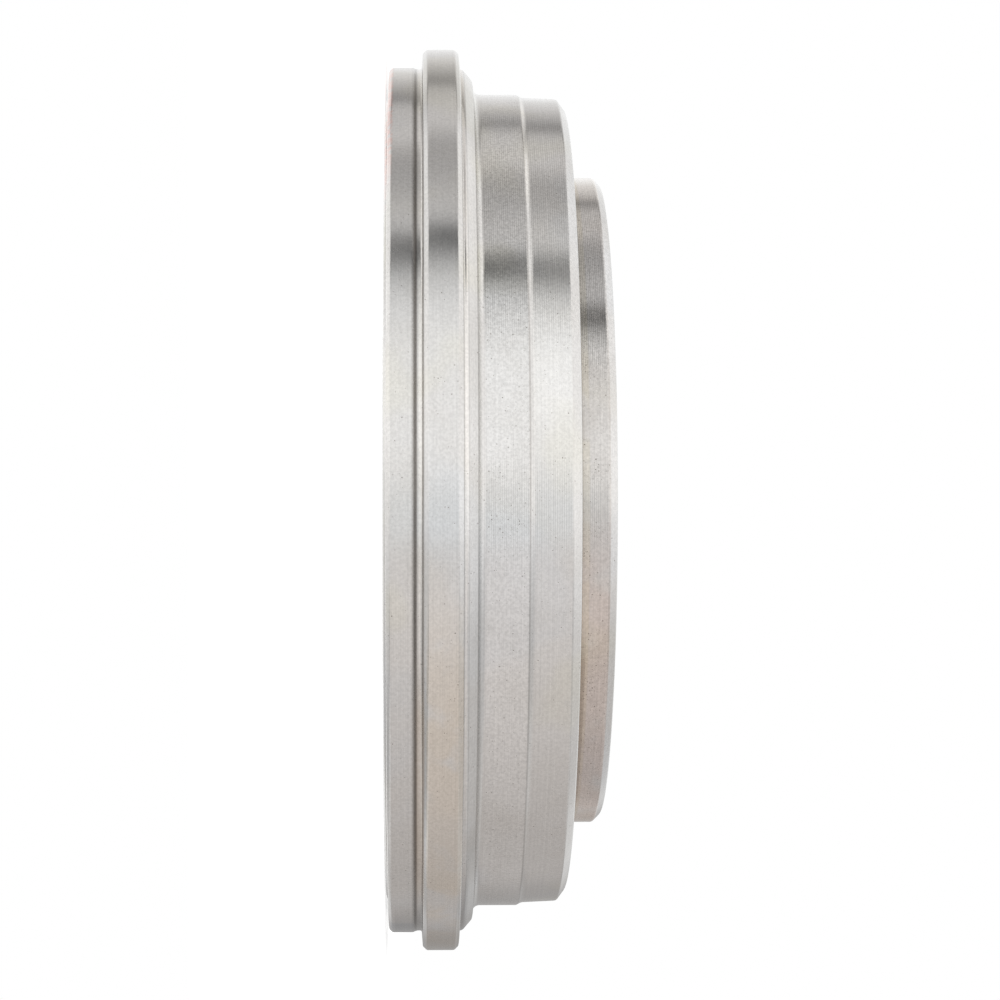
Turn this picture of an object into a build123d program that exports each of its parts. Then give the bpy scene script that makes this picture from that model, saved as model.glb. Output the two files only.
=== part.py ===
"""Brake drum for a passenger car: one grey-iron casting, turned all over outside and bored inside.

The drum stands on its open mouth at z = 0, with its axis along +Z and its wheel face up.
Lengths are in millimetres and angles in degrees. Heights are measured from the mouth.
"""

import os
from math import isclose, radians, tan

from build123d import *

# Braking chamber
friction_diameter = 200.0  # the track that the shoes rub on
chamber_depth = 39.5  # mouth to web
entry_chamfer = 1.5
runout_width = 3.0  # relief where the boring tool leaves the track
runout_depth = 0.8
runout_chamfer = 1.6

# Lip, at the mouth
lip_rise = 6.9  # above the body
lip_height = 6.9
lip_chamfer = 1.2
relief_ramp = 0.8  # rolls the lip off into the relief behind it
relief_depth = 0.45

# Stiffening flange
flange_rise = 11.5  # above the body
flange_height = 9.1  # mouth to the flange's foot
flange_width = 9.7  # across its foot
flange_draft = 4.0  # lean of its two sides
flange_chamfer = 0.75

# Shoulder, between the flange and the body
shoulder_rise = 6.5  # above the body
shoulder_width = 0.75
bevel_height = 2.45
bevel_drop = 2.85
shoulder_draft = 5.0  # lean of the face below the bevel
body_fillet = 1.2

# Body and crown, the two bands over the friction track
body_wall = 6.5
body_height = 33.7  # mouth to the end of the body
step_width = 0.9
step_drop = 0.7
crown_draft = 2.5
crown_chamfer_height = 2.1
crown_chamfer_drop = 2.8

# Web and wheel hat
web_thickness = 6.5
hat_diameter = 170.0
hat_height = 9.5  # wheel face above web
hat_chamfer = 2.0
hat_thickness = 7.0  # between the wheel's seat and the hub's seat
hat_wall = 7.0
pocket_draft = 6.0
pocket_chamfer = 2.0
seat_diameter = 146.0  # hub seat, faced into the rough floor of the pocket
seat_depth = 0.5

# Seal groove in the mouth, which takes the rim of the backing plate
groove_wall = 4.6  # iron outside it
groove_width = 3.6
groove_depth = 5.0

# Holes through the hat
pilot_diameter = 64.1
pilot_chamfer = 1.0
stud_count = 5
stud_circle_diameter = 114.3
stud_hole_diameter = 13.0
stud_hole_chamfer = 0.8
first_stud_angle = 90.0
jack_thread_diameter = 8.0  # tapped for the screws that push the drum off its hub
jack_thread_pitch = 1.25
jack_hole_chamfer = 0.8
jack_hole_places = (1.5, 3.5)  # steps round from the first stud

# Radii
friction_radius = friction_diameter / 2
body_radius = friction_radius + body_wall
lip_radius = body_radius + lip_rise
relief_radius = lip_radius - relief_depth
flange_radius = body_radius + flange_rise
shoulder_radius = body_radius + shoulder_rise
bevel_radius = shoulder_radius - bevel_drop
crown_radius = body_radius - step_drop
hat_radius = hat_diameter / 2
pocket_radius = hat_radius - hat_wall
groove_outer_radius = lip_radius - groove_wall
groove_inner_radius = groove_outer_radius - groove_width
pilot_radius = pilot_diameter / 2
stud_circle_radius = stud_circle_diameter / 2
stud_hole_radius = stud_hole_diameter / 2
jack_hole_radius = (jack_thread_diameter - jack_thread_pitch) / 2  # drilled size, before the tap

# Heights
flange_top = flange_height + flange_width
bevel_start = flange_top + shoulder_width
bevel_end = bevel_start + bevel_height
crown_height = body_height + step_width
web_face = chamber_depth + web_thickness
crown_end = web_face - crown_chamfer_height
wheel_face = web_face + hat_height
hub_seat = wheel_face - hat_thickness
pocket_floor = hub_seat - seat_depth
runout_height = chamber_depth - runout_width

# What the leaning walls run to
flange_foot_lean = (flange_radius - relief_radius) * tan(radians(flange_draft))
flange_top_lean = (flange_radius - shoulder_radius) * tan(radians(flange_draft))
shoulder_lean = (bevel_radius - body_radius) * tan(radians(shoulder_draft))
crown_end_radius = crown_radius - (crown_end - crown_height) * tan(radians(crown_draft))
pocket_mouth_radius = pocket_radius + (pocket_floor - chamber_depth) * tan(radians(pocket_draft))

# Corners that are filleted or chamfered, as (radius, height)
mouth_corner = (lip_radius, 0)
wheel_corner = (hat_radius, wheel_face)
flange_lower_corner = (flange_radius, flange_height + flange_foot_lean)
flange_upper_corner = (flange_radius, flange_top - flange_top_lean)
body_root = (body_radius, bevel_end + shoulder_lean)
runout_corner = (friction_radius + runout_depth, chamber_depth)
pocket_mouth = (pocket_mouth_radius, chamber_depth)
pocket_corner = (pocket_radius, pocket_floor)


def corner(sketch, point):
    """The vertex of a half-section that lies at a point (radius, height)."""
    return sketch.vertices().sort_by_distance(point)[0]


with BuildPart() as brake_drum:
    # The turned outside, as a solid of revolution
    with BuildSketch(Plane.XZ) as outside:
        with BuildLine():
            Polyline(
                (0, 0),
                mouth_corner,
                (lip_radius, lip_height),
                (relief_radius, lip_height + relief_ramp),
                (relief_radius, flange_height),
                flange_lower_corner,
                flange_upper_corner,
                (shoulder_radius, flange_top),
                (shoulder_radius, bevel_start),
                (bevel_radius, bevel_end),
                body_root,
                (body_radius, body_height),
                (crown_radius, crown_height),
                (crown_end_radius, crown_end),
                (crown_end_radius - crown_chamfer_drop, web_face),
                (hat_radius, web_face),
                wheel_corner,
                (0, wheel_face),
                close=True,
            )
        make_face()
        chamfer(corner(outside, mouth_corner), lip_chamfer)
        chamfer(corner(outside, wheel_corner), hat_chamfer)
        for edge in (flange_lower_corner, flange_upper_corner):
            chamfer(corner(outside, edge), flange_chamfer)
        fillet(corner(outside, body_root), body_fillet)
    revolve(axis=Axis.Z)

    # The braking chamber, and the pocket under the hat that takes the hub
    with BuildSketch(Plane.XZ) as inside:
        with BuildLine():
            Polyline(
                (0, 0),
                (friction_radius + entry_chamfer, 0),
                (friction_radius, entry_chamfer),
                (friction_radius, runout_height),
                (friction_radius + runout_depth, runout_height + runout_depth),
                runout_corner,
                pocket_mouth,
                pocket_corner,
                (0, pocket_floor),
                close=True,
            )
        make_face()
        chamfer(corner(inside, runout_corner), runout_chamfer)
        for edge in (pocket_mouth, pocket_corner):
            chamfer(corner(inside, edge), pocket_chamfer)
    revolve(axis=Axis.Z, mode=Mode.SUBTRACT)

    # The seal groove
    with BuildSketch():
        Circle(groove_outer_radius)
        Circle(groove_inner_radius, mode=Mode.SUBTRACT)
    extrude(amount=groove_depth, mode=Mode.SUBTRACT)

    # The hub seat
    with BuildSketch(Plane.XY.offset(pocket_floor)):
        Circle(seat_diameter / 2)
    extrude(amount=seat_depth, mode=Mode.SUBTRACT)

    # The holes through the hat, each chamfered on both faces
    stud_step_angle = 360 / stud_count
    with Locations(Plane.XY.offset(wheel_face)):
        Hole(pilot_radius)
        with PolarLocations(stud_circle_radius, stud_count, first_stud_angle):
            Hole(stud_hole_radius)
        for place in jack_hole_places:
            with PolarLocations(stud_circle_radius, 1, first_stud_angle + place * stud_step_angle):
                Hole(jack_hole_radius)

    for hole_radius, size in (
        (pilot_radius, pilot_chamfer),
        (stud_hole_radius, stud_hole_chamfer),
        (jack_hole_radius, jack_hole_chamfer),
    ):
        rims = brake_drum.edges().filter_by(GeomType.CIRCLE)
        chamfer(rims.filter_by(lambda rim: isclose(rim.radius, hole_radius)), size)

brake_drum.part.label = "brake_drum"

os.makedirs("parts", exist_ok=True)
export_step(brake_drum.part, "parts/brake_drum.step")
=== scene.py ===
from math import cos, hypot, pi, radians, sin, tan

import bmesh
import bpy
from mathutils import Matrix, Vector


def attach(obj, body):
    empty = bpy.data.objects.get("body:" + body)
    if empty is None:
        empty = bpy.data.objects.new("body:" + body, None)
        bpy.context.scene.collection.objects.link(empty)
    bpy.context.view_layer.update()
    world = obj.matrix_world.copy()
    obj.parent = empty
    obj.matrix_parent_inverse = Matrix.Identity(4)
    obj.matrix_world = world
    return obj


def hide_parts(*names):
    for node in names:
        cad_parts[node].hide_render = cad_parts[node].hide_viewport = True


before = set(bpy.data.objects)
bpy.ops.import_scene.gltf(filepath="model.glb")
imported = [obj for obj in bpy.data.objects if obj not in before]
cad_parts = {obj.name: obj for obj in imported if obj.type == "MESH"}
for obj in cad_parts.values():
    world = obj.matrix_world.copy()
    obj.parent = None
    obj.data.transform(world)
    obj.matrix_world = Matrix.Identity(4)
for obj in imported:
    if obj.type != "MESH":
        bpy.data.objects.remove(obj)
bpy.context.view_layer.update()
print("Frame loaded")

mm = 0.001
scene = bpy.context.scene


drum = {  # millimetres and degrees, heights from the mouth
    "frictionRadius": 100.0,
    "chamberDepth": 39.5,
    "entryChamfer": 1.5,
    "runoutWidth": 3.0,
    "runoutDepth": 0.8,
    "runoutChamfer": 1.6,
    "bodyWall": 6.5,
    "bodyHeight": 33.7,
    "lipRise": 6.9,
    "lipHeight": 6.9,
    "lipChamfer": 0.9,
    "lipSetBack": 0.7,  # the lip stops short of the ring that the shoes run in
    "reliefRamp": 0.8,
    "reliefDepth": 0.45,
    "flangeRise": 11.5,
    "flangeHeight": 9.1,
    "flangeWidth": 9.7,
    "flangeDraft": 4.0,
    "flangeChamfer": 1.0,
    "shoulderRise": 6.5,
    "shoulderWidth": 0.75,
    "bevelHeight": 2.45,
    "bevelDrop": 2.85,
    "shoulderDraft": 5.0,
    "stepWidth": 0.9,
    "stepDrop": 0.7,
    "crownDraft": 2.5,
    "crownChamferHeight": 2.1,
    "crownChamferDrop": 2.8,
    "webThickness": 6.5,
    "hatRadius": 85.0,
    "hatHeight": 9.5,
    "hatChamfer": 2.0,
    "hatThickness": 7.0,
    "hatWall": 7.0,
    "pocketDraft": 6.0,
    "pocketChamfer": 2.0,
    "seatRadius": 73.0,
    "seatDepth": 0.5,
    "grooveWall": 4.6,
    "grooveWidth": 3.6,
    "grooveDepth": 5.0,
    "pilotRadius": 32.05,
    "pilotChamfer": 1.0,
    "studCount": 5,
    "studCircleRadius": 57.15,
    "studHoleRadius": 6.5,
    "firstStudAngle": 90.0,
    "jackPlaces": (1.5, 3.5),  # steps round from the first stud
    "jackRadius": 4.0,  # M8
    "jackPitch": 1.25,
    "threadDepth": 0.541,  # share of the pitch
    "threadCrest": 0.125,  # share of the pitch
    "holeChamfer": 0.8,
    "stepsRound": 360,
    "holeSteps": 48,
    "threadSteps": 32,  # in each turn
    "roundSegments": 3,
    "sharpAngle": 35.0,
}

bodyRadius = drum["frictionRadius"] + drum["bodyWall"]
webFace = drum["chamberDepth"] + drum["webThickness"]
wheelFace = webFace + drum["hatHeight"]
hubSeat = wheelFace - drum["hatThickness"]
jackMinorRadius = drum["jackRadius"] - drum["threadDepth"] * drum["jackPitch"]


def sectionCorners():
    # each corner of the half-section, as (radius, height, rounding), from the mouth round outside
    d = drum
    lip = bodyRadius + d["lipRise"]
    relief = lip - d["reliefDepth"]
    flange = bodyRadius + d["flangeRise"]
    shoulder = bodyRadius + d["shoulderRise"]
    bevel = shoulder - d["bevelDrop"]
    crown = bodyRadius - d["stepDrop"]
    hat = d["hatRadius"]
    pilot = d["pilotRadius"]
    grooveOuter = lip - d["grooveWall"]
    grooveInner = grooveOuter - d["grooveWidth"]
    pocket = hat - d["hatWall"]
    runout = d["frictionRadius"] + d["runoutDepth"]

    flangeTop = d["flangeHeight"] + d["flangeWidth"]
    bevelStart = flangeTop + d["shoulderWidth"]
    bevelEnd = bevelStart + d["bevelHeight"]
    crownHeight = d["bodyHeight"] + d["stepWidth"]
    crownEnd = webFace - d["crownChamferHeight"]
    pocketFloor = hubSeat - d["seatDepth"]

    flangeSlope = tan(radians(d["flangeDraft"]))
    flangeCorner = flange - d["flangeChamfer"]
    shoulderLean = (bevel - bodyRadius) * tan(radians(d["shoulderDraft"]))
    crownEndRadius = crown - (crownEnd - crownHeight) * tan(radians(d["crownDraft"]))
    pocketMouth = pocket + (pocketFloor - d["chamberDepth"]) * tan(radians(d["pocketDraft"]))

    return [
        # mouth, seal groove and lip
        (d["frictionRadius"] + d["entryChamfer"], 0, 0.2),
        (grooveInner, 0, 1.3),
        (grooveInner, d["grooveDepth"], 0.4),
        (grooveOuter, d["grooveDepth"], 0.4),
        (grooveOuter, d["lipSetBack"], 0.3),
        (lip - d["lipChamfer"], d["lipSetBack"], 0.3),
        (lip, d["lipSetBack"] + d["lipChamfer"], 0.3),
        (lip, d["lipHeight"], 0.5),
        (relief, d["lipHeight"] + d["reliefRamp"], 0.6),
        # stiffening flange
        (relief, d["flangeHeight"], 0.45),
        (flangeCorner, d["flangeHeight"] + (flangeCorner - relief) * flangeSlope, 0.25),
        (flange, d["flangeHeight"] + (flange - relief) * flangeSlope + d["flangeChamfer"], 0.3),
        (flange, flangeTop - (flange - shoulder) * flangeSlope - d["flangeChamfer"], 0.3),
        (flangeCorner, flangeTop - (flangeCorner - shoulder) * flangeSlope, 0.25),
        (shoulder, flangeTop, 0.15),
        # shoulder
        (shoulder, bevelStart, 0.55),
        (bevel, bevelEnd, 0.3),
        (bodyRadius, bevelEnd + shoulderLean, 1.6),
        # body and crown
        (bodyRadius, d["bodyHeight"], 0.3),
        (crown, crownHeight, 0.8),
        (crownEndRadius, crownEnd, 0.4),
        (crownEndRadius - d["crownChamferDrop"], webFace, 0.6),
        # wheel hat
        (hat, webFace, 0.6),
        (hat, wheelFace - d["hatChamfer"], 0.4),
        (hat - d["hatChamfer"], wheelFace, 0.4),
        (pilot + d["pilotChamfer"], wheelFace, 0.1),
        (pilot, wheelFace - d["pilotChamfer"], 0.1),
        (pilot, hubSeat + d["pilotChamfer"], 0.1),
        (pilot + d["pilotChamfer"], hubSeat, 0.1),
        # hub seat and the pocket round it
        (d["seatRadius"], hubSeat, 0.15),
        (d["seatRadius"], pocketFloor, 0.15),
        (pocket, pocketFloor, d["pocketChamfer"]),
        (pocketMouth, d["chamberDepth"], d["pocketChamfer"]),
        # braking chamber
        (runout, d["chamberDepth"], d["runoutChamfer"]),
        (runout, d["chamberDepth"] - d["runoutWidth"] + d["runoutDepth"], 0.1),
        (d["frictionRadius"], d["chamberDepth"] - d["runoutWidth"], 0.1),
        (d["frictionRadius"], d["entryChamfer"], 0.2),
    ]


def drawSection(bm, corners):
    # a closed loop in the XZ plane, each corner rounded by a vertex bevel
    verts = [bm.verts.new((radius * mm, 0, height * mm)) for radius, height, rounding in corners]
    for start, end in zip(verts, verts[1:] + verts[:1]):
        bm.edges.new((start, end))
    for vert, (*_, rounding) in zip(verts, corners):
        bmesh.ops.bevel(
            bm, geom=[vert], offset=rounding * mm, offset_type="OFFSET",
            segments=drum["roundSegments"], profile=0.5, affect="VERTICES", material=-1,
        )


def spinAll(bm, steps, angle=2 * pi, rise=0.0, merge=True):
    bmesh.ops.spin(
        bm, geom=bm.verts[:] + bm.edges[:], cent=(0, 0, 0), axis=(0, 0, 1),
        dvec=(0, 0, rise), angle=angle, steps=steps, use_merge=merge,
    )


def closeSkin(bm):
    bmesh.ops.remove_doubles(bm, verts=bm.verts[:], dist=1e-6)


def moveToCircle(bm, place):
    # place counts the stud holes round the circle, from the first one
    radius = drum["studCircleRadius"] * mm
    angle = radians(drum["firstStudAngle"] + place * 360 / drum["studCount"])
    bmesh.ops.translate(bm, vec=(radius * cos(angle), radius * sin(angle), 0), verts=bm.verts[:])


def plainHole(radius):
    # a plug whose two ends flare at 45 degrees, for a hole chamfered on both faces
    over = 1.0
    size = drum["holeChamfer"]
    wide = radius + size + over
    points = [
        (0, hubSeat - over), (wide, hubSeat - over), (radius, hubSeat + size),
        (radius, wheelFace - size), (wide, wheelFace + over), (0, wheelFace + over),
    ]
    bm = bmesh.new()
    verts = [bm.verts.new((across * mm, 0, height * mm)) for across, height in points]
    for start, end in zip(verts, verts[1:]):
        bm.edges.new((start, end))
    spinAll(bm, drum["holeSteps"])
    closeSkin(bm)
    bmesh.ops.recalc_face_normals(bm, faces=bm.faces[:])
    return bm


def threadPlug():
    # one V of the thread, spun up its helix and cut off square at both ends
    over = 0.4
    spareTurns = 2  # past each face
    pitch = drum["jackPitch"]
    halfCrest = drum["threadCrest"] * pitch / 2
    turns = int(drum["hatThickness"] / pitch) + 2 * spareTurns
    start = hubSeat - spareTurns * pitch
    points = [
        (jackMinorRadius, 0), (drum["jackRadius"], pitch / 2 - halfCrest),
        (drum["jackRadius"], pitch / 2 + halfCrest), (jackMinorRadius, pitch),
    ]
    bm = bmesh.new()
    verts = [bm.verts.new((across * mm, 0, (start + height) * mm)) for across, height in points]
    for first, second in zip(verts, verts[1:]):
        bm.edges.new((first, second))
    steps = drum["threadSteps"]
    spinAll(bm, steps * turns, 2 * pi * turns, pitch * mm / steps, merge=False)
    closeSkin(bm)
    for height, direction in ((hubSeat - over, -1), (wheelFace + over, 1)):
        cut = bmesh.ops.bisect_plane(
            bm, geom=bm.verts[:] + bm.edges[:] + bm.faces[:], dist=1e-7,
            plane_co=(0, 0, height * mm), plane_no=(0, 0, direction), clear_outer=True,
        )
        rim = [item for item in cut["geom_cut"] if isinstance(item, bmesh.types.BMEdge)]
        bmesh.ops.contextual_create(bm, geom=rim)
    bmesh.ops.recalc_face_normals(bm, faces=bm.faces[:])
    return bm


def toObject(bm, name):
    mesh = bpy.data.meshes.new(name)
    bm.to_mesh(mesh)
    bm.free()
    made = bpy.data.objects.new(name, mesh)
    scene.collection.objects.link(made)
    return made


def joinInto(target, bm):
    mesh = bpy.data.meshes.new("part")
    bm.to_mesh(mesh)
    bm.free()
    target.from_mesh(mesh)
    bpy.data.meshes.remove(mesh)


def applyModifiers(made):
    evaluated = made.evaluated_get(bpy.context.evaluated_depsgraph_get())
    made.data = bpy.data.meshes.new_from_object(evaluated)
    made.modifiers.clear()


def cutHoles(made, plugs):
    # plugs: where each one goes round the stud circle, and its mesh
    bm = bmesh.new()
    for place, plug in plugs:
        moveToCircle(plug, place)
        joinInto(bm, plug)
    cutter = toObject(bm, "cutter")
    boolean = made.modifiers.new("holes", "BOOLEAN")
    boolean.object = cutter
    boolean.operation = "DIFFERENCE"
    boolean.solver = "EXACT"
    applyModifiers(made)
    bpy.data.objects.remove(cutter)


def makeDrum():
    bm = bmesh.new()
    drawSection(bm, sectionCorners())
    spinAll(bm, drum["stepsRound"])
    bmesh.ops.recalc_face_normals(bm, faces=bm.faces[:])
    made = toObject(bm, "turnedDrum")

    holes = [(place, plainHole(drum["studHoleRadius"])) for place in range(drum["studCount"])]
    holes += [(place, plainHole(jackMinorRadius)) for place in drum["jackPlaces"]]
    cutHoles(made, holes)
    cutHoles(made, [(place, threadPlug()) for place in drum["jackPlaces"]])
    return made


def finishEdges(made):
    # smooth over the small roundings, crisp at every true corner
    bm = bmesh.new()
    bm.from_mesh(made.data)
    for face in bm.faces:
        face.smooth = True
    for edge in bm.edges:
        edge.smooth = edge.calc_face_angle(0) < radians(drum["sharpAngle"])
    bm.to_mesh(made.data)
    bm.free()
    weighted = made.modifiers.new("bands", "WEIGHTED_NORMAL")
    weighted.keep_sharp = True
    weighted.weight = 100
    applyModifiers(made)


zoneSlack = {  # millimetres by which the middle of a face may miss the surface that names it
    "track": 1.6,
    "web": 0.01,
    "pocket": 4.0,
    "seat": 0.05,
    "hatFoot": 0.7,
    "hatSide": 0.3,
    "body": 0.1,
}


def zoneOf(centre):
    # which finish a face has, from its radius and height in millimetres
    radius = hypot(centre.x, centre.y) / mm
    height = centre.z / mm
    chamber = drum["frictionRadius"] + zoneSlack["track"]
    pocket = drum["hatRadius"] - zoneSlack["pocket"]
    if height < drum["chamberDepth"] + zoneSlack["web"] and radius < chamber:
        return "bored" if radius > pocket else "cast"
    if height < hubSeat - zoneSlack["seat"] and radius < pocket:
        return "cast"
    onHat = abs(radius - drum["hatRadius"]) < zoneSlack["hatSide"]
    if onHat and height > webFace + zoneSlack["hatFoot"]:
        return "hatSide"
    onBody = abs(radius - bodyRadius) < zoneSlack["body"]
    return "body" if onBody and height < drum["bodyHeight"] else "turned"


drumObject = makeDrum()
finishEdges(drumObject)
print("Drum turned and drilled:", len(drumObject.data.polygons), "faces")


def addNode(tree, kind, inputs=None, **settings):
    node = tree.nodes.new(kind)
    for name, value in settings.items():
        setattr(node, name, value)
    for socket, value in (inputs or {}).items():
        if isinstance(value, bpy.types.NodeSocket):
            tree.links.new(value, node.inputs[socket])
        else:
            node.inputs[socket].default_value = value
    return node


def calculate(tree, operation, *values):
    return addNode(tree, "ShaderNodeMath", dict(enumerate(values)), operation=operation).outputs[0]


def between(tree, value, low, high, first=0.0, last=1.0):
    # a smooth step from first to last, as the value goes from low to high
    inputs = {
        "Value": value, "From Min": low, "From Max": high, "To Min": first, "To Max": last,
    }
    return addNode(tree, "ShaderNodeMapRange", inputs, interpolation_type="SMOOTHSTEP").outputs[0]


def mixColour(tree, factor, first, second, blend="MIX"):
    inputs = {0: factor, 6: first, 7: second}  # the sockets for colours
    return addNode(tree, "ShaderNodeMix", inputs, data_type="RGBA", blend_type=blend).outputs[2]


def tintWhere(tree, mask, colour, tint):
    return mixColour(tree, mask, colour, mixColour(tree, 1.0, colour, tint, "MULTIPLY"))


def noiseAt(tree, place, scale, detail, **more):
    inputs = {"Vector": place, "Scale": scale, "Detail": detail, **more}
    return addNode(tree, "ShaderNodeTexNoise", inputs).outputs[0]


def objectPlace(tree):
    return addNode(tree, "ShaderNodeTexCoord").outputs["Object"]


def radiusAndHeight(tree, place):
    split = addNode(tree, "ShaderNodeSeparateXYZ", {0: place})
    across = calculate(tree, "POWER", split.outputs["X"], 2.0)
    along = calculate(tree, "POWER", split.outputs["Y"], 2.0)
    radius = calculate(tree, "SQRT", calculate(tree, "ADD", across, along))
    return radius, split.outputs["Z"]


def newGroup(name, inputs, outputs):
    group = bpy.data.node_groups.new(name, "ShaderNodeTree")
    for label, value in inputs.items():
        socket = group.interface.new_socket(label, in_out="INPUT", socket_type="NodeSocketFloat")
        socket.default_value = value
    for label in outputs:
        group.interface.new_socket(label, in_out="OUTPUT", socket_type="NodeSocketFloat")
    given = group.nodes.new("NodeGroupInput").outputs
    result = group.nodes.new("NodeGroupOutput").inputs
    return group, given, result


def angleRound(tree, place):
    # degrees round from -Y towards +X
    split = addNode(tree, "ShaderNodeSeparateXYZ", {0: place}).outputs
    front = calculate(tree, "MULTIPLY", split["Y"], -1.0)
    return calculate(tree, "DEGREES", calculate(tree, "ARCTAN2", split["X"], front))


def sectorMask(tree, angle, start, end, fade):
    rise = between(tree, angle, start, calculate(tree, "ADD", start, fade))
    fall = between(tree, angle, end, calculate(tree, "SUBTRACT", end, fade))
    return calculate(tree, "MULTIPLY", rise, fall)


turning = {
    "waveShare": 0.18,  # of the even feed marks in the height
    "ringShare": 0.8,  # of the uneven rings in it
    "ringScale": 0.9,
    "ringDetail": 3.0,
    "ringRoughness": 0.7,
    "patchScale": 22.0,
    "patchDetail": 2.0,
    "patchSpan": (0.4, 0.6),
    "patchStrength": 0.45,
    "chatterRadius": 108.0,  # millimetres, the tool chattered inside it only
    "chatterFade": 6.0,
    "chatter": [
        # from and to, in degrees round from -Y; added strength of the marks; added grain
        (-68.0, -18.0, 1.9, 0.5),
        (-7.0, 9.0, 1.25, -0.2),
    ],
}


def turningLinesGroup():
    # the feed marks of a lathe tool: rings along the axis on sides, along the radius on faces
    group, given, result = newGroup(
        "turningLines", {"Spacing": 0.48, "Patchiness": 0.7}, ["Height", "Chatter"]
    )
    place = objectPlace(group)
    radius, height = radiusAndHeight(group, place)
    along = calculate(group, "SUBTRACT", height, radius)
    spacing = calculate(group, "MULTIPLY", given["Spacing"], mm)
    turns = calculate(group, "DIVIDE", along, spacing)
    wave = calculate(group, "SINE", calculate(group, "MULTIPLY", turns, 2 * pi))
    rings = addNode(
        group, "ShaderNodeTexNoise",
        {"W": turns, "Scale": turning["ringScale"], "Detail": turning["ringDetail"],
         "Roughness": turning["ringRoughness"]},
        noise_dimensions="1D",
    ).outputs[0]
    patches = noiseAt(group, place, turning["patchScale"], turning["patchDetail"])
    most = turning["patchStrength"]
    least = calculate(group, "MULTIPLY_ADD", given["Patchiness"], -most, most)
    strength = between(group, patches, *turning["patchSpan"], least, most)
    angle = angleRound(group, place)
    inner = calculate(group, "LESS_THAN", radius, turning["chatterRadius"] * mm)
    coarser = 1.0
    for start, end, gain, grain in turning["chatter"]:
        mask = sectorMask(group, angle, start, end, turning["chatterFade"])
        sector = calculate(group, "MULTIPLY", inner, mask)
        coarser = calculate(group, "MULTIPLY_ADD", sector, grain, coarser)
        strength = calculate(group, "MULTIPLY_ADD", sector, gain, strength)
    fine = calculate(group, "MULTIPLY", wave, strength)
    total = calculate(group, "MULTIPLY_ADD", fine, turning["waveShare"], 0.5)
    uneven = calculate(group, "SUBTRACT", rings, 0.5)
    total = calculate(group, "MULTIPLY_ADD", uneven, turning["ringShare"], total)
    group.links.new(total, result["Height"])
    group.links.new(coarser, result["Chatter"])
    return group


pits = {
    "patchScale": 45.0,
    "patchDetail": 3.0,
    "patchSpan": (0.35, 0.65),
    "patchShares": (0.3, 1.7),  # how common they are in the emptiest and the fullest patches
    "sizes": (0.5, 1.3),  # the smallest and the largest, as shares of the size given
    "edge": 0.6,  # share of a pit over which it darkens towards its middle
    "paler": 0.5,  # share of them that is at its palest
    "depths": (0.3, 1.0),  # the palest and the darkest
}


def poresGroup():
    # small dark pits where graphite has torn out, thicker in some patches than others
    group, given, result = newGroup("pores", {"Cell": 1.4, "Size": 0.16, "Amount": 0.35}, ["Mask"])
    place = objectPlace(group)
    scale = calculate(group, "DIVIDE", 1 / mm, given["Cell"])
    cells = addNode(group, "ShaderNodeTexVoronoi", {"Vector": place, "Scale": scale})
    chance = addNode(group, "ShaderNodeSeparateColor", {0: cells.outputs["Color"]})
    patches = noiseAt(group, place, pits["patchScale"], pits["patchDetail"])
    patchShare = between(group, patches, *pits["patchSpan"], *pits["patchShares"])
    share = calculate(group, "MULTIPLY", given["Amount"], patchShare)
    chosen = calculate(group, "LESS_THAN", chance.outputs[0], share)
    larger = between(group, chance.outputs[1], 0.0, 1.0, *pits["sizes"])
    reach = calculate(group, "MULTIPLY", given["Size"], larger)
    away = calculate(group, "DIVIDE", cells.outputs["Distance"], reach)
    spot = calculate(group, "SUBTRACT", 1.0, away)
    dark = between(group, chance.outputs[2], pits["paler"], 1.0, *pits["depths"])
    dark = calculate(group, "MULTIPLY", chosen, dark)
    mask = calculate(group, "MULTIPLY", between(group, spot, 0.0, pits["edge"]), dark)
    group.links.new(mask, result["Mask"])
    return group


mottle = {  # scale and detail of each noise
    "Cloud": (60.0, 4.0),
    "Tint": (27.0, 2.0),
    "Grain": (1500.0, 2.0),
}


def mottleGroup():
    # broad cloudy shade, a slower drift of tint and a fine grain, each centred on a half
    scales = {label: scale for label, (scale, detail) in mottle.items()}
    group, given, result = newGroup("mottle", scales, list(mottle))
    place = objectPlace(group)
    for label, (scale, detail) in mottle.items():
        group.links.new(noiseAt(group, place, given[label], detail), result[label])
    return group


blotches = {
    "detail": 4.0,
    "distortion": 0.5,
    "bare": 0.62,  # how high the noise has to be before a film with no cover shows
    "coverGain": 0.35,
    "edge": 0.22,
}


def filmGroup():
    # blotches left on one side of the drum, between two angles round from -Y towards +X
    group, given, result = newGroup(
        "film", {"From": 0.0, "To": 90.0, "Fade": 20.0, "Scale": 50.0, "Cover": 0.5}, ["Mask"]
    )
    place = objectPlace(group)
    window = sectorMask(group, angleRound(group, place), given["From"], given["To"], given["Fade"])
    blotch = noiseAt(
        group, place, given["Scale"], blotches["detail"], Distortion=blotches["distortion"]
    )
    gained = calculate(group, "MULTIPLY", given["Cover"], blotches["coverGain"])
    low = calculate(group, "SUBTRACT", blotches["bare"], gained)
    patches = between(group, blotch, low, calculate(group, "ADD", low, blotches["edge"]))
    group.links.new(calculate(group, "MULTIPLY", window, patches), result["Mask"])
    return group


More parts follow.
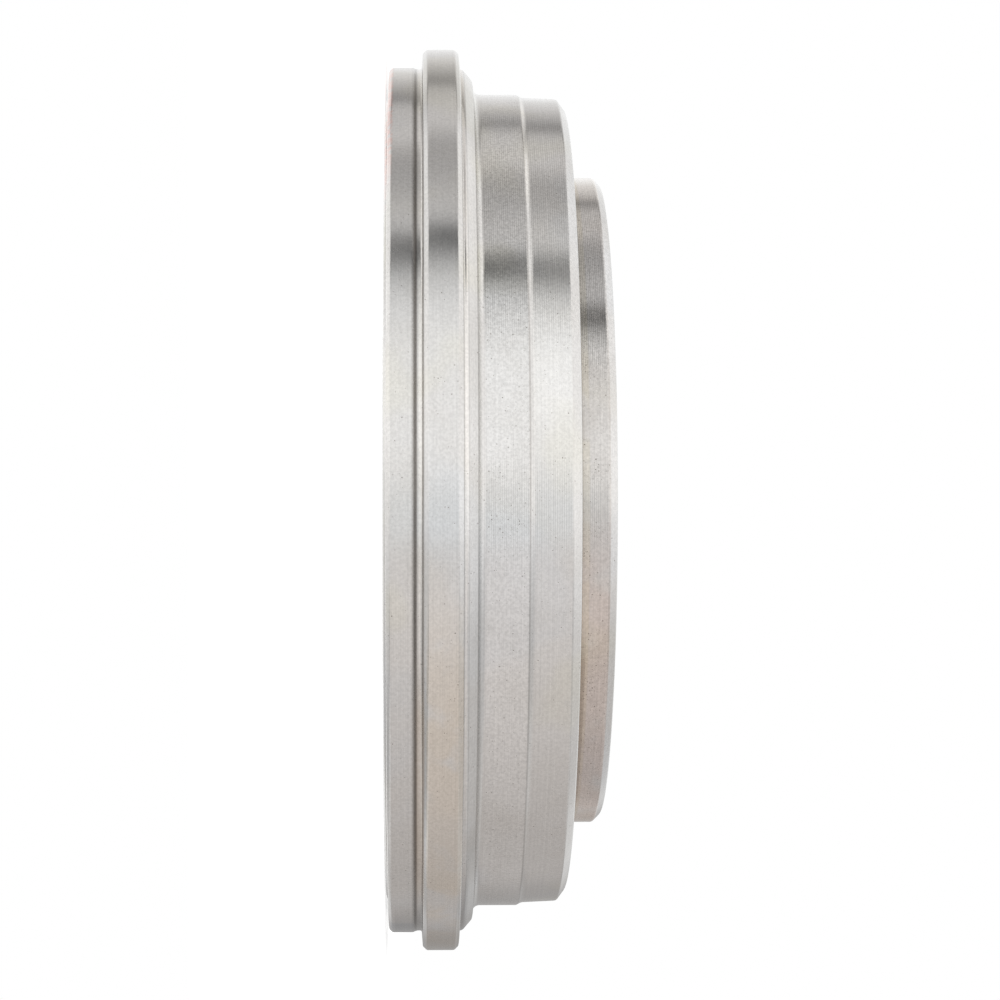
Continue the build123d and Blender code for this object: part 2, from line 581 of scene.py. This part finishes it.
def cornerLineGroup():
    # painted shade: a dark line in one inner corner of the section, where shade falls
    group, given, result = newGroup(
        "cornerShadeLine", {"Radius": 100.0, "Height": 0.0, "Width": 0.4}, ["Mask"]
    )
    solidShare = 0.3  # of the line's width, full dark
    radius, height = radiusAndHeight(group, objectPlace(group))
    apart = []
    for value, label in ((radius, "Radius"), (height, "Height")):
        away = calculate(group, "SUBTRACT", calculate(group, "DIVIDE", value, mm), given[label])
        apart.append(calculate(group, "POWER", away, 2.0))
    distance = calculate(group, "SQRT", calculate(group, "ADD", *apart))
    solid = calculate(group, "MULTIPLY", given["Width"], solidShare)
    group.links.new(between(group, distance, given["Width"], solid), result["Mask"])
    return group


effects = {
    "turningLines": turningLinesGroup(),
    "pores": poresGroup(),
    "mottle": mottleGroup(),
    "film": filmGroup(),
    "cornerShadeLine": cornerLineGroup(),
}


def useEffect(tree, name, inputs=None):
    return addNode(tree, "ShaderNodeGroup", inputs, node_tree=effects[name]).outputs


finishes = {
    # spacing, depths and pore cells in millimetres, and pore sizes as shares of a cell
    "turned": {
        "colour": (0.66, 0.654, 0.643, 1), "shade": (0.64, 0.63, 0.612, 1),
        "metallic": 1.0, "roughness": 0.235, "anisotropic": 0.8,
        "spacing": 0.54, "patchiness": 0.85, "lineDepth": 0.003, "lineShade": 0.12,
        "poreCell": 0.75, "poreSize": 0.21, "poreAmount": 0.34, "poreDepth": 0.02, "grain": 0.055,
    },
    "body": {
        "colour": (0.69, 0.685, 0.675, 1), "shade": (0.65, 0.64, 0.622, 1),
        "metallic": 1.0, "roughness": 0.235, "anisotropic": 0.8,
        "spacing": 0.5, "patchiness": 0.85, "lineDepth": 0.003, "lineShade": 0.12,
        "poreCell": 0.64, "poreSize": 0.25, "poreAmount": 0.65, "poreDepth": 0.02, "grain": 0.08,
    },
    "hatSide": {
        "colour": (0.605, 0.588, 0.568, 1), "shade": (0.55, 0.525, 0.50, 1),
        "metallic": 1.0, "roughness": 0.235, "anisotropic": 0.8,
        "spacing": 0.45, "patchiness": 0.5, "lineDepth": 0.004, "lineShade": 0.19,
        "poreCell": 0.66, "poreSize": 0.26, "poreAmount": 0.95, "poreDepth": 0.02, "grain": 0.08,
    },
    "bored": {
        "colour": (0.56, 0.55, 0.54, 1), "shade": (0.50, 0.48, 0.46, 1),
        "metallic": 1.0, "roughness": 0.26, "anisotropic": 0.7,
        "spacing": 0.25, "patchiness": 0.3, "lineDepth": 0.0015, "lineShade": 0.08,
        "poreCell": 1.5, "poreSize": 0.1, "poreAmount": 0.12, "poreDepth": 0.02, "grain": 0.04,
    },
    "cast": {
        "colour": (0.20, 0.19, 0.18, 1), "shade": (0.13, 0.12, 0.11, 1),
        "metallic": 0.6, "roughness": 0.62, "anisotropic": 0.0,
        "spacing": 2.0, "patchiness": 1.0, "lineDepth": 0.0, "lineShade": 0.0,
        "poreCell": 1.0, "poreSize": 0.3, "poreAmount": 0.5, "poreDepth": 0.12, "grain": 0.15,
    },
}

# the films without gaps are the painted highlights and painted shade
even = {"strength": 1.0, "scale": 50.0, "cover": 2.5}  # for a film without gaps

films = {
    # By zone. The tint multiplies the colour between two radii and two heights, in millimetres,
    # and two angles, in degrees round from -Y. Films with a strength, scale and cover of their own
    # are blotchy stains. Even ones are painted light: highlights above 1, shade below 1.
    "turned": {
        "flangeFilm": {
            "tint": (1.03, 0.955, 0.86, 1), "radii": (114.0, 119.0), "heights": (9.8, 19.0),
            "from": 5.0, "to": 150.0, "fade": 20.0,
            "strength": 0.8, "scale": 70.0, "cover": 0.9,
        },
        "reliefStain": {
            "tint": (1.0, 0.92, 0.84, 1), "radii": (112.0, 117.4), "heights": (7.3, 10.0),
            "from": 16.0, "to": 66.0, "fade": 12.0,
            "strength": 0.8, "scale": 60.0, "cover": 1.2,
        },
        # painted shade on the lip, between 69 and 90 degrees round
        "paintedLipShade": {
            "tint": (0.8, 0.83, 0.87, 1), "radii": (112.6, 114.0), "heights": (0.9, 7.4),
            "from": 69.0, "to": 90.0, "fade": 2.0, **even,
        },
        # painted highlights on the relief, shoulder, root, crown and step
        "brightRelief": {
            "tint": (1.2, 1.19, 1.17, 1), "radii": (112.5, 113.5), "heights": (7.9, 9.3),
            "from": -200.0, "to": 45.0, "fade": 50.0, **even,
        },
        "brightShoulder": {
            "tint": (1.22, 1.2, 1.18, 1), "radii": (112.5, 113.5), "heights": (18.6, 19.75),
            "from": -200.0, "to": 45.0, "fade": 50.0, **even,
        },
        "brightRoot": {
            "tint": (1.22, 1.23, 1.23, 1), "radii": (106.9, 110.3), "heights": (21.9, 23.7),
            "from": -200.0, "to": 45.0, "fade": 50.0, **even,
        },
        "brightCrown": {
            "tint": (1.12, 1.12, 1.115, 1), "radii": (102.3, 106.6), "heights": (34.4, 44.0),
            "from": -46.0, "to": -3.0, "fade": 10.0, **even,
        },
        "brightStep": {
            "tint": (1.45, 1.44, 1.42, 1), "radii": (105.2, 107.0), "heights": (33.3, 35.0),
            "from": -78.0, "to": -38.0, "fade": 12.0, **even,
        },
        # painted shade on the flange, relief, shoulder and bevel at one end of the view
        "endShade": {
            "tint": (0.8, 0.8, 0.8, 1), "radii": (107.0, 119.0), "heights": (2.0, 22.6),
            "from": 58.0, "to": 175.0, "fade": 14.0, **even,
        },
        "endShadeUpper": {
            "tint": (0.74, 0.74, 0.74, 1), "radii": (111.0, 118.2), "heights": (17.6, 20.6),
            "from": 48.0, "to": 175.0, "fade": 14.0, **even,
        },
        "endShadeRelief": {
            "tint": (0.74, 0.74, 0.74, 1), "radii": (112.0, 114.0), "heights": (7.0, 9.6),
            "from": 60.0, "to": 175.0, "fade": 12.0, **even,
        },
        "bevelShade": {
            "tint": (0.74, 0.73, 0.72, 1), "radii": (109.0, 113.5), "heights": (19.6, 22.4),
            "from": 40.0, "to": 72.0, "fade": 10.0, **even,
        },
        "lipRust": {
            "tint": (1.15, 0.86, 0.82, 1), "radii": (103.0, 113.8), "heights": (-0.6, 2.2),
            "from": -88.0, "to": -38.0, "fade": 15.0,
            "strength": 0.9, "scale": 420.0, "cover": 0.8,
        },
    },
    "hatSide": {
        "hatFilm": {
            "tint": (1.06, 0.98, 0.95, 1), "radii": (0.0, 100.0), "heights": (46.0, 56.0),
            "from": -4.0, "to": 170.0, "fade": 25.0,
            "strength": 0.9, "scale": 60.0, "cover": 1.0,
        },
        # painted highlights on the hat's side, at two sectors round it
        "hatTopPaintedHighlight": {
            "tint": (1.38, 1.37, 1.35, 1), "radii": (0.0, 100.0), "heights": (46.0, 56.0),
            "from": -100.0, "to": -61.0, "fade": 3.5, **even,
        },
        "hatBottomPaintedHighlight": {
            "tint": (1.5, 1.49, 1.48, 1), "radii": (0.0, 100.0), "heights": (46.0, 56.0),
            "from": 60.0, "to": 120.0, "fade": 9.0, **even,
        },
        # painted shade at the hat's foot
        "hatFootShade": {
            "tint": (0.74, 0.72, 0.7, 1), "radii": (84.0, 86.0), "heights": (45.9, 48.4),
            "from": 18.0, "to": 200.0, "fade": 12.0, **even,
        },
        "hatFoot": {
            "tint": (1.0, 0.975, 0.9, 1), "radii": (84.0, 86.0), "heights": (46.0, 49.0),
            "from": -200.0, "to": 200.0, "fade": 10.0,
            "strength": 0.9, "scale": 90.0, "cover": 1.0,
        },
    },
}

clouds = [  # faint drifts of tint: the tint, and the span of the noise over which it comes in
    ((0.985, 1.0, 1.02, 1), 0.54, 0.66),
    ((1.005, 1.0, 0.96, 1), 0.46, 0.36),
]

poreDarkAndCornerShade = {
    "pore": (0.42, 0.39, 0.37, 1),
    # corner and lines: painted shade in the inner corners of the section, one line spread wide over
    # the flange's side that faces the mouth; pore: the pits' own dark colour
    "corner": (0.22, 0.19, 0.165, 1),
    "lines": [
        # inner corner, as (radius, height); how wide its line is; how dark
        ((113.35, 7.2), 0.9, 0.22),
        ((113.1, 7.62), 0.42, 0.46),
        ((115.2, 9.25), 2.4, 0.7),
        ((113.0, 9.3), 0.3, 0.3),
        ((112.7, 19.85), 0.28, 0.18),
        ((110.1, 21.9), 0.36, 0.3),
        ((106.4, 33.85), 0.34, 0.3),
        ((101.5, 46.05), 0.5, 0.5),
        ((85.0, 46.6), 1.1, 0.3),
    ],
}

surface = {  # what all the finishes share
    "shadeSpan": (0.35, 0.75),  # of the cloud noise, over which the colour passes into the shade
    "grainSpan": (0.3, 0.7),  # of the grain noise, from its dark to its light
    "roughSpan": (0.3, 0.7),  # of the cloud noise, over which the iron gets rougher
    "smoother": 0.03,  # taken from the roughness at one end of that span
    "rougher": 0.04,  # added to it at the other end
    "poreRoughness": 0.25,  # added in a pit
    "poreStrength": 0.6,
    "filmEdge": 0.5,  # millimetres over which a film fades, or a third of its width if less
}


# painted shade in the inner corners of the section
def cornerShadeMask(tree):
    clean = 1.0
    for (radius, height), width, darkness in poreDarkAndCornerShade["lines"]:
        place = {"Radius": radius, "Height": height, "Width": width}
        line = useEffect(tree, "cornerShadeLine", place)["Mask"]
        kept = calculate(tree, "MULTIPLY_ADD", line, -darkness, 1.0)
        clean = calculate(tree, "MULTIPLY", clean, kept)
    return calculate(tree, "SUBTRACT", 1.0, clean)


def filmMask(tree, film):
    radius, height = radiusAndHeight(tree, objectPlace(tree))
    inside = film["strength"]
    for value, (low, high) in ((radius, film["radii"]), (height, film["heights"])):
        soft = min(surface["filmEdge"], (high - low) / 3)
        rise = between(tree, value, low * mm, (low + soft) * mm)
        fall = between(tree, value, high * mm, (high - soft) * mm)
        inside = calculate(tree, "MULTIPLY", inside, calculate(tree, "MULTIPLY", rise, fall))
    sector = {label: film[label.lower()] for label in ("From", "To", "Fade", "Scale", "Cover")}
    return calculate(tree, "MULTIPLY", inside, useEffect(tree, "film", sector)["Mask"])


def ironColour(tree, name, lines, pores, clouded):
    look = finishes[name]
    clouding = between(tree, clouded["Cloud"], *surface["shadeSpan"])
    colour = mixColour(tree, clouding, look["colour"], look["shade"])
    for tint, low, high in clouds:
        colour = tintWhere(tree, between(tree, clouded["Tint"], low, high), colour, tint)
    ring = calculate(tree, "SUBTRACT", lines["Height"], 0.5)
    ringShade = calculate(tree, "MULTIPLY_ADD", ring, 2 * look["lineShade"], 1.0)
    grain = between(tree, clouded["Grain"], *surface["grainSpan"], -look["grain"], look["grain"])
    grainShade = calculate(tree, "MULTIPLY_ADD", grain, lines["Chatter"], 1.0)
    shade = calculate(tree, "MULTIPLY", ringShade, grainShade)
    colour = mixColour(tree, 1.0, colour, shade, "MULTIPLY")
    for film in films.get(name, {}).values():
        colour = tintWhere(tree, filmMask(tree, film), colour, film["tint"])
    colour = tintWhere(tree, pores["Mask"], colour, poreDarkAndCornerShade["pore"])
    # painted shade in the inner corners
    if name != "cast":
        colour = tintWhere(tree, cornerShadeMask(tree), colour, poreDarkAndCornerShade["corner"])
    return colour


def ironNormal(tree, look, lines, pores):
    ringBump = addNode(
        tree, "ShaderNodeBump",
        {"Height": lines["Height"], "Distance": look["lineDepth"] * mm, "Strength": 1.0},
    )
    poreBump = addNode(
        tree, "ShaderNodeBump",
        {"Height": calculate(tree, "SUBTRACT", 1.0, pores["Mask"]),
         "Distance": look["poreDepth"] * mm, "Strength": surface["poreStrength"],
         "Normal": ringBump.outputs[0]},
    )
    return poreBump.outputs[0]


def ironFinish(name):
    look = finishes[name]
    material = bpy.data.materials.new(name + "Iron")
    material.use_nodes = True
    tree = material.node_tree
    sockets = tree.nodes["Principled BSDF"].inputs
    lines = useEffect(
        tree, "turningLines", {"Spacing": look["spacing"], "Patchiness": look["patchiness"]}
    )
    pores = useEffect(
        tree, "pores",
        {"Cell": look["poreCell"], "Size": look["poreSize"], "Amount": look["poreAmount"]},
    )
    clouded = useEffect(tree, "mottle")

    tree.links.new(ironColour(tree, name, lines, pores, clouded), sockets["Base Color"])
    tree.links.new(ironNormal(tree, look, lines, pores), sockets["Normal"])
    smoothest = look["roughness"] - surface["smoother"]
    roughest = look["roughness"] + surface["rougher"]
    rough = between(tree, clouded["Cloud"], *surface["roughSpan"], smoothest, roughest)
    rough = calculate(tree, "MULTIPLY_ADD", pores["Mask"], surface["poreRoughness"], rough)
    tree.links.new(rough, sockets["Roughness"])

    sockets["Metallic"].default_value = look["metallic"]
    sockets["Anisotropic"].default_value = look["anisotropic"]
    sockets["Anisotropic Rotation"].default_value = 0.25  # highlights stretch across the feed marks
    tangent = addNode(tree, "ShaderNodeTangent", direction_type="RADIAL", axis="Z")
    tree.links.new(tangent.outputs[0], sockets["Tangent"])
    return material


zones = list(finishes)
for zone in zones:
    drumObject.data.materials.append(ironFinish(zone))
for face in drumObject.data.polygons:
    face.material_index = zones.index(zoneOf(face.center))
print("Finishes made:", ", ".join(zones))

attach(drumObject, "root")
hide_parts("brake_drum")


studio = {
    "ambient": 0.55,
    "floorRadius": 4.0,
    "floorColour": (0.8, 0.8, 0.8, 1),
    "floorRoughness": 0.9,
    "floorGlow": 0.62,
}


def seenDirectly(tree):
    # 1 for what the camera, a reflection or glass sees, 0 for what lights the scene
    path = addNode(tree, "ShaderNodeLightPath").outputs
    mirrored = calculate(tree, "MAXIMUM", path["Is Glossy Ray"], path["Is Transmission Ray"])
    return calculate(tree, "MAXIMUM", path["Is Camera Ray"], mirrored)


def makeWorld():
    world = bpy.data.worlds.new("paleStudio")
    world.use_nodes = True
    scene.world = world
    tree = world.node_tree
    strength = between(tree, seenDirectly(tree), 0.0, 1.0, studio["ambient"], 1.0)
    tree.links.new(strength, tree.nodes["Background"].inputs["Strength"])
    tree.nodes["Background"].inputs["Color"].default_value = (1, 1, 1, 1)


def makeFloor():
    bm = bmesh.new()
    bmesh.ops.create_circle(bm, cap_ends=True, segments=96, radius=studio["floorRadius"])
    floor = toObject(bm, "floor")
    material = bpy.data.materials.new("paleFloor")
    material.use_nodes = True
    tree = material.node_tree
    shader = tree.nodes["Principled BSDF"]
    shader.inputs["Base Color"].default_value = studio["floorColour"]
    shader.inputs["Roughness"].default_value = studio["floorRoughness"]
    shader.inputs["Specular IOR Level"].default_value = 0.0
    glow = addNode(
        tree, "ShaderNodeEmission",
        {"Strength": calculate(tree, "MULTIPLY", seenDirectly(tree), studio["floorGlow"])},
    )
    total = addNode(tree, "ShaderNodeAddShader", {0: shader.outputs[0], 1: glow.outputs[0]})
    tree.links.new(total.outputs[0], tree.nodes["Material Output"].inputs["Surface"])
    floor.data.materials.append(material)
    floor.visible_glossy = False  # the tent stands for it in the iron's reflections


softbox = {
    "place": (-0.25, -0.35, 1.5),
    "side": 1.3,
    "radiance": 1.2,
}


def makeSoftbox():
    light = bpy.data.lights.new("overhead", "AREA")
    light.shape = "SQUARE"
    light.size = softbox["side"]
    light.energy = softbox["radiance"] * pi * softbox["side"] ** 2
    lamp = bpy.data.objects.new("overhead", light)
    scene.collection.objects.link(lamp)
    lamp.location = softbox["place"]
    lamp.rotation_euler = (-Vector(softbox["place"])).to_track_quat("-Z", "Y").to_euler()
    lamp.visible_camera = False
    lamp.visible_glossy = False  # the tent is what the iron reflects


tent = {  # pale cloth all round the drum, seen only in its reflections
    "radius": 2.5,
    "height": 2.0,
    # degrees round from the front, upwards in the view; brightness; warmth
    "wall": [
        (180, 1.35, 0), (168, 1.15, 0), (158, 0.97, 0), (143, 0.77, 0.5), (133, 0.53, 0.6),
        (127, 0.28, 0.6), (121, 0.68, 0.6), (105, 0.78, 0.6), (97, 0.48, 0.6), (87, 0.52, 0.5),
        (78, 0.68, 0.5), (71.5, 0.75, 0.3), (68, 0.13, -0.2), (63.5, 0.13, -0.2), (58, 0.68, 0),
        (50, 0.96, 0), (38, 1.19, 0), (10, 1.18, 0.1), (4, 1.11, 0), (1, 1.0, -0.2),
        (-9, 0.96, -0.2), (-13, 0.92, 0.6), (-25, 0.93, 0.8), (-50, 0.83, 1.0), (-80, 0.71, 1.1),
        (-105, 0.61, 1.1), (-127, 0.60, 1.0), (-140, 0.46, 0.9), (-152, 0.40, 0.6),
        (-165, 0.46, 0.4), (-180, 0.64, 0),
    ],
    # from the upper side of the view to the lower, as a share of the radius; brightness; warmth
    "hatEnd": [
        (-1, 1.2, 0.3), (-0.4, 1.17, 0.3), (-0.2, 1.21, 0.3), (-0.1, 1.28, 0.2), (0, 1.27, 0.2),
        (0.1, 1.11, 0.3), (0.21, 0.93, 0.4), (0.31, 0.81, 0.5), (0.42, 0.74, 0.5),
        (0.62, 0.64, 0.5), (0.78, 0.68, 0.5), (1, 0.80, 0.5),
    ],
    "mouthEnd": [
        (-1, 1.2, 0.2), (-0.5, 1.15, 0.2), (-0.27, 1.36, 0.2), (-0.14, 1.3, 0.2), (0, 1.12, 0.2),
        (0.14, 0.88, 0.3), (0.34, 0.80, 0.4), (0.51, 0.52, 0.4), (0.68, 0.56, 0.4),
        (0.82, 0.95, 0.3), (1, 1.0, 0.2),
    ],
    "warmth": (0.05, 0.075),  # what a warmth of 1 takes from the green and from the blue
    "blend": (0.5, 0.95),  # share of its height over which the wall passes into the ends
    "backGlow": {"mouthEnd": 1.4, "hatEnd": 1.0},  # high and low on the wall behind the drum
    "backDepth": (0.76, 0.94),  # share of the radius over which the back glow comes in
    "backHeight": (0.15, 0.65),  # share of the height over which it does
    "backSeam": 0.01,  # metres up or down from the middle, where one glow passes into the other
    "segments": 128,
}


def clothColour(tree, coordinate, stops):
    ramp = addNode(tree, "ShaderNodeValToRGB", {0: coordinate})
    elements = ramp.color_ramp.elements
    elements.remove(elements[0])
    for number, (place, brightness, warmth) in enumerate(stops):
        element = elements.new(place) if number else elements[0]
        element.position = place
        green, blue = (brightness * (1 - share * warmth) for share in tent["warmth"])
        element.color = (brightness, green, blue, 1)
    return ramp.outputs[0]


def clothMaterial():
    # glowing cloth: bright and dark round its wall, shading across its two ends
    material = bpy.data.materials.new("glowingCloth")
    material.use_nodes = True
    tree = material.node_tree
    tree.nodes.remove(tree.nodes["Principled BSDF"])
    place = objectPlace(tree)
    turned = addNode(tree, "ShaderNodeMapping", {"Vector": place, "Rotation": (0, 0, pi / 2)})
    around = addNode(tree, "ShaderNodeTexGradient", {0: turned.outputs[0]}, gradient_type="RADIAL")
    split = addNode(tree, "ShaderNodeSeparateXYZ", {0: place}).outputs
    across = calculate(tree, "MULTIPLY_ADD", split["X"], 0.5 / tent["radius"], 0.5)

    stops = [(0.5 - angle / 360, brightness, warmth) for angle, brightness, warmth in tent["wall"]]
    wall = clothColour(tree, around.outputs[1], stops)
    ends = []
    for label in ("mouthEnd", "hatEnd"):
        stops = [(0.5 + share / 2, brightness, warmth) for share, brightness, warmth in tent[label]]
        ends.append(clothColour(tree, across, stops))
    end = mixColour(tree, calculate(tree, "GREATER_THAN", split["Z"], 0.0), *ends)
    fromMiddle = calculate(tree, "ABSOLUTE", split["Z"])
    passing = between(tree, fromMiddle, *(share * tent["height"] for share in tent["blend"]))
    cloth = mixColour(tree, passing, wall, end)

    back = between(tree, split["Y"], *(share * tent["radius"] for share in tent["backDepth"]))
    away = between(tree, fromMiddle, *(share * tent["height"] for share in tent["backHeight"]))
    glows = tent["backGlow"].values()
    side = between(tree, split["Z"], -tent["backSeam"], tent["backSeam"], *glows)
    cloth = mixColour(tree, calculate(tree, "MULTIPLY", back, away), cloth, side)
    glow = addNode(tree, "ShaderNodeEmission", {"Color": cloth, "Strength": 1.0})
    tree.links.new(glow.outputs[0], tree.nodes["Material Output"].inputs["Surface"])
    return material


def makeTent():
    bm = bmesh.new()
    bmesh.ops.create_cone(
        bm, cap_ends=True, segments=tent["segments"], radius1=tent["radius"],
        radius2=tent["radius"], depth=2 * tent["height"],
    )
    made = toObject(bm, "lightTent")
    made.data.materials.append(clothMaterial())
    made.visible_camera = False
    made.visible_diffuse = False
    made.visible_transmission = False
    made.visible_shadow = False


view = {  # metres, with the lens and the sensor in millimetres
    "distance": 0.7645,  # from the drum's axis
    "height": 0.0079,
    "aimHeight": 0.0299,
    "lens": 103.7,
    "sensor": 36.0,
}


def makeCamera():
    data = bpy.data.cameras.new("camera")
    data.lens = view["lens"]
    data.sensor_width = view["sensor"]
    camera = bpy.data.objects.new("camera", data)
    scene.collection.objects.link(camera)
    place = Vector((0, -view["distance"], view["height"]))
    forward = (Vector((0, 0, view["aimHeight"])) - place).normalized()
    up = Vector((-1, 0, 0))  # the camera lies on its side, so the drum seems to stand on its edge
    turned = Matrix((forward.cross(up), up, -forward)).transposed().to_4x4()
    camera.matrix_world = Matrix.Translation(place) @ turned
    scene.camera = camera


makeWorld()
makeFloor()
makeTent()
makeSoftbox()
makeCamera()
scene.view_settings.view_transform = "Standard"
print("Studio and camera ready")
